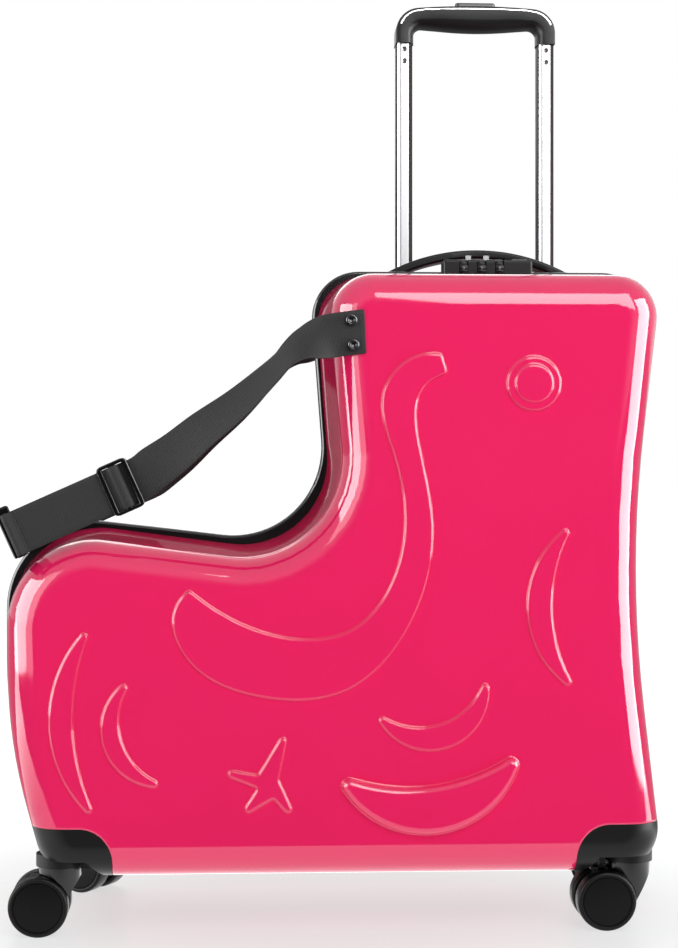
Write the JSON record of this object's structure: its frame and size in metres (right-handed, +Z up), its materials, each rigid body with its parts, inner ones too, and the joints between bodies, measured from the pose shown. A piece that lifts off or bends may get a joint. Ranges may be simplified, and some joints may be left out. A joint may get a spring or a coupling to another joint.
{
  "type": "ride on suitcase",
  "caption": "Hard child's suitcase with a saddle to sit on, swivel casters, telescopic handle, carry handle, dial lock and safety belt; its right half opens.",
  "frame": {"origin": "on the floor, under the middle of the part's outer box", "axes": "+X towards the tall front of the case, +Y to the rider's left, +Z up"},
  "size_m": [0.5235, 0.2692, 0.745],
  "materials": {
    "pink_shell": "glossy moulded plastic",
    "black_piping": "glossy extruded edging",
    "zip_tape": "woven tape with nylon coil",
    "lining_cloth": "thin woven lining",
    "black_plastic": "fine grained moulding",
    "gloss_black_plastic": "smooth moulding",
    "black_webbing": "woven webbing",
    "bright_aluminium": "polished tube",
    "bright_trim": "bright strip",
    "steel": "plain steel",
    "zip_metal": "dark plated metal",
    "wheel_plastic": "hub and tread moulded in two steps"
  },
  "bodies": {
    "left_half": {"left_shell": "pink_shell", "left_piping": "black_piping", "left_zip_tape": "zip_tape", "left_lining": "lining_cloth", "zip_sliders": "zip_metal", "carry_handle": "black_plastic", "carry_handle_brackets": "black_plastic", "outer_tubes": "bright_aluminium", "tube_bezel": "black_plastic", "tube_foot": "black_plastic", "left_webbing": "black_webbing", "buckle_plug": "gloss_black_plastic", "left_belt_rivets": "gloss_black_plastic", "front_left_caster_housing": "black_plastic", "rear_left_caster_housing": "black_plastic"},
    "right_half": {"right_shell": "pink_shell", "right_piping": "black_piping", "right_zip_tape": "zip_tape", "right_lining": "lining_cloth", "lock_case": "black_plastic", "lock_dial_axle": "steel", "right_webbing": "black_webbing", "buckle_socket": "gloss_black_plastic", "right_belt_rivets": "gloss_black_plastic", "front_right_caster_housing": "black_plastic", "rear_right_caster_housing": "black_plastic"},
    "trolley_handle": {"grip_body": "black_plastic", "grip_trim": "bright_trim", "inner_tubes": "bright_aluminium", "grip_screws": "steel", "latch_blocks": "black_plastic", "button_spring": "steel"},
    "handle_release": {"grip_button": "black_plastic", "release_rods": "black_plastic"},
    "latch_pins": {"latch_pins": "black_plastic"},
    "lock_dial_1": {"lock_dial_1": "black_plastic"},
    "lock_dial_2": {"lock_dial_2": "black_plastic"},
    "lock_dial_3": {"lock_dial_3": "black_plastic"},
    "lock_button": {"lock_button": "black_plastic"},
    "rear_zip_pull": {"rear_zip_pull": "zip_metal"},
    "front_zip_pull": {"front_zip_pull": "zip_metal"},
    "belt_adjuster": {"belt_adjuster": "gloss_black_plastic"},
    "rear_left_caster": {"rear_left_caster_fork": "black_plastic", "rear_left_caster_pins": "steel"},
    "rear_left_outer_wheel": {"rear_left_outer_wheel": "wheel_plastic"},
    "rear_left_inner_wheel": {"rear_left_inner_wheel": "wheel_plastic"},
    "rear_right_caster": {"rear_right_caster_fork": "black_plastic", "rear_right_caster_pins": "steel"},
    "rear_right_outer_wheel": {"rear_right_outer_wheel": "wheel_plastic"},
    "rear_right_inner_wheel": {"rear_right_inner_wheel": "wheel_plastic"},
    "front_left_caster": {"front_left_caster_fork": "black_plastic", "front_left_caster_pins": "steel"},
    "front_left_outer_wheel": {"front_left_outer_wheel": "wheel_plastic"},
    "front_left_inner_wheel": {"front_left_inner_wheel": "wheel_plastic"},
    "front_left_brake_lever": {"front_left_brake_lever": "black_plastic"},
    "front_right_caster": {"front_right_caster_fork": "black_plastic", "front_right_caster_pins": "steel"},
    "front_right_outer_wheel": {"front_right_outer_wheel": "wheel_plastic"},
    "front_right_inner_wheel": {"front_right_inner_wheel": "wheel_plastic"},
    "front_right_brake_lever": {"front_right_brake_lever": "black_plastic"}
  },
  "joints": [
    {"name": "case_opening", "type": "hinge", "parent": "left_half", "child": "right_half", "pos_m": [0.00179, 0, 0.0335], "axis": [1, 0, 0], "range_deg": [0, 95]},
    {"name": "handle_slide", "type": "slide", "parent": "left_half", "child": "trolley_handle", "axis": [0, 0, 1], "range_m": [-0.198, 0]},
    {"name": "grip_button_press", "type": "slide", "parent": "trolley_handle", "child": "handle_release", "axis": [0, 0, -1], "range_m": [0, 0.0025], "stiffness_N_per_m": 1000, "springref_m": -0.002, "deforming": ["button_spring"]},
    {"name": "latch_withdraw", "type": "slide", "parent": "trolley_handle", "child": "latch_pins", "axis": [0, 1, 0], "range_m": [0, 0.0014]},
    {"name": "lock_release_press", "type": "slide", "parent": "right_half", "child": "lock_button", "axis": [0, 0, -1], "range_m": [0, 0.0025], "stiffness_N_per_m": 300, "springref_m": -0.001},
    {"name": "belt_adjuster_slide", "type": "slide", "parent": "right_half", "child": "belt_adjuster", "axis": [-0.9135, 0, -0.4067], "range_m": [0, 0.04]},
    {"name": "lock_dial_1_turn", "type": "hinge", "parent": "right_half", "child": "lock_dial_1", "pos_m": [0.10659, -0.0213, 0.5092], "axis": [1, 0, 0], "continuous": true},
    {"name": "lock_dial_2_turn", "type": "hinge", "parent": "right_half", "child": "lock_dial_2", "pos_m": [0.12094, -0.0213, 0.5092], "axis": [1, 0, 0], "continuous": true},
    {"name": "lock_dial_3_turn", "type": "hinge", "parent": "right_half", "child": "lock_dial_3", "pos_m": [0.13529, -0.0213, 0.5092], "axis": [1, 0, 0], "continuous": true},
    {"name": "rear_zip_pull_lift", "type": "hinge", "parent": "left_half", "child": "rear_zip_pull", "pos_m": [0.11329, 0, 0.5127], "axis": [1, 0, 0], "range_deg": [-80, 0]},
    {"name": "front_zip_pull_lift", "type": "hinge", "parent": "left_half", "child": "front_zip_pull", "pos_m": [0.12779, 0, 0.5127], "axis": [1, 0, 0], "range_deg": [-80, 0]},
    {"name": "rear_left_swivel", "type": "hinge", "parent": "left_half", "child": "rear_left_caster", "pos_m": [-0.20671, 0.082, 0.0505], "axis": [0, 0, 1], "continuous": true},
    {"name": "rear_left_outer_wheel_spin", "type": "hinge", "parent": "rear_left_caster", "child": "rear_left_outer_wheel", "pos_m": [-0.20047, 0.06281, 0.0225], "axis": [-0.5, -0.866, 0], "continuous": true},
    {"name": "rear_left_inner_wheel_spin", "type": "hinge", "parent": "rear_left_caster", "child": "rear_left_inner_wheel", "pos_m": [-0.18697, 0.08619, 0.0225], "axis": [-0.5, -0.866, 0], "continuous": true},
    {"name": "rear_right_swivel", "type": "hinge", "parent": "right_half", "child": "rear_right_caster", "pos_m": [-0.20671, -0.082, 0.0505], "axis": [0, 0, 1], "continuous": true},
    {"name": "rear_right_outer_wheel_spin", "type": "hinge", "parent": "rear_right_caster", "child": "rear_right_outer_wheel", "pos_m": [-0.22171, -0.0955, 0.0225], "axis": [0, 1, 0], "continuous": true},
    {"name": "rear_right_inner_wheel_spin", "type": "hinge", "parent": "rear_right_caster", "child": "rear_right_inner_wheel", "pos_m": [-0.22171, -0.0685, 0.0225], "axis": [0, 1, 0], "continuous": true},
    {"name": "front_left_swivel", "type": "hinge", "parent": "left_half", "child": "front_left_caster", "pos_m": [0.22779, 0.082, 0.0505], "axis": [0, 0, 1], "continuous": true},
    {"name": "front_left_outer_wheel_spin", "type": "hinge", "parent": "front_left_caster", "child": "front_left_outer_wheel", "pos_m": [0.224, 0.05817, 0.0225], "axis": [-0.9063, -0.4226, 0], "continuous": true},
    {"name": "front_left_inner_wheel_spin", "type": "hinge", "parent": "front_left_caster", "child": "front_left_inner_wheel", "pos_m": [0.24848, 0.06958, 0.0225], "axis": [-0.9063, -0.4226, 0], "continuous": true},
    {"name": "front_left_brake", "type": "hinge", "parent": "front_left_caster", "child": "front_left_brake_lever", "pos_m": [0.23675, 0.06279, 0.05], "axis": [0.9063, 0.4226, 0], "range_deg": [0, 16]},
    {"name": "front_right_swivel", "type": "hinge", "parent": "right_half", "child": "front_right_caster", "pos_m": [0.22779, -0.082, 0.0505], "axis": [0, 0, 1], "continuous": true},
    {"name": "front_right_outer_wheel_spin", "type": "hinge", "parent": "front_right_caster", "child": "front_right_outer_wheel", "pos_m": [0.20779, -0.0955, 0.0225], "axis": [0, 1, 0], "continuous": true},
    {"name": "front_right_inner_wheel_spin", "type": "hinge", "parent": "front_right_caster", "child": "front_right_inner_wheel", "pos_m": [0.20779, -0.0685, 0.0225], "axis": [0, 1, 0], "continuous": true},
    {"name": "front_right_brake", "type": "hinge", "parent": "front_right_caster", "child": "front_right_brake_lever", "pos_m": [0.20659, -0.082, 0.05], "axis": [0, -1, 0], "range_deg": [0, 16]}
  ],
  "couplings": [
    {"joint": "latch_withdraw", "follows": "grip_button_press", "ratio": 0.56}
  ]
}
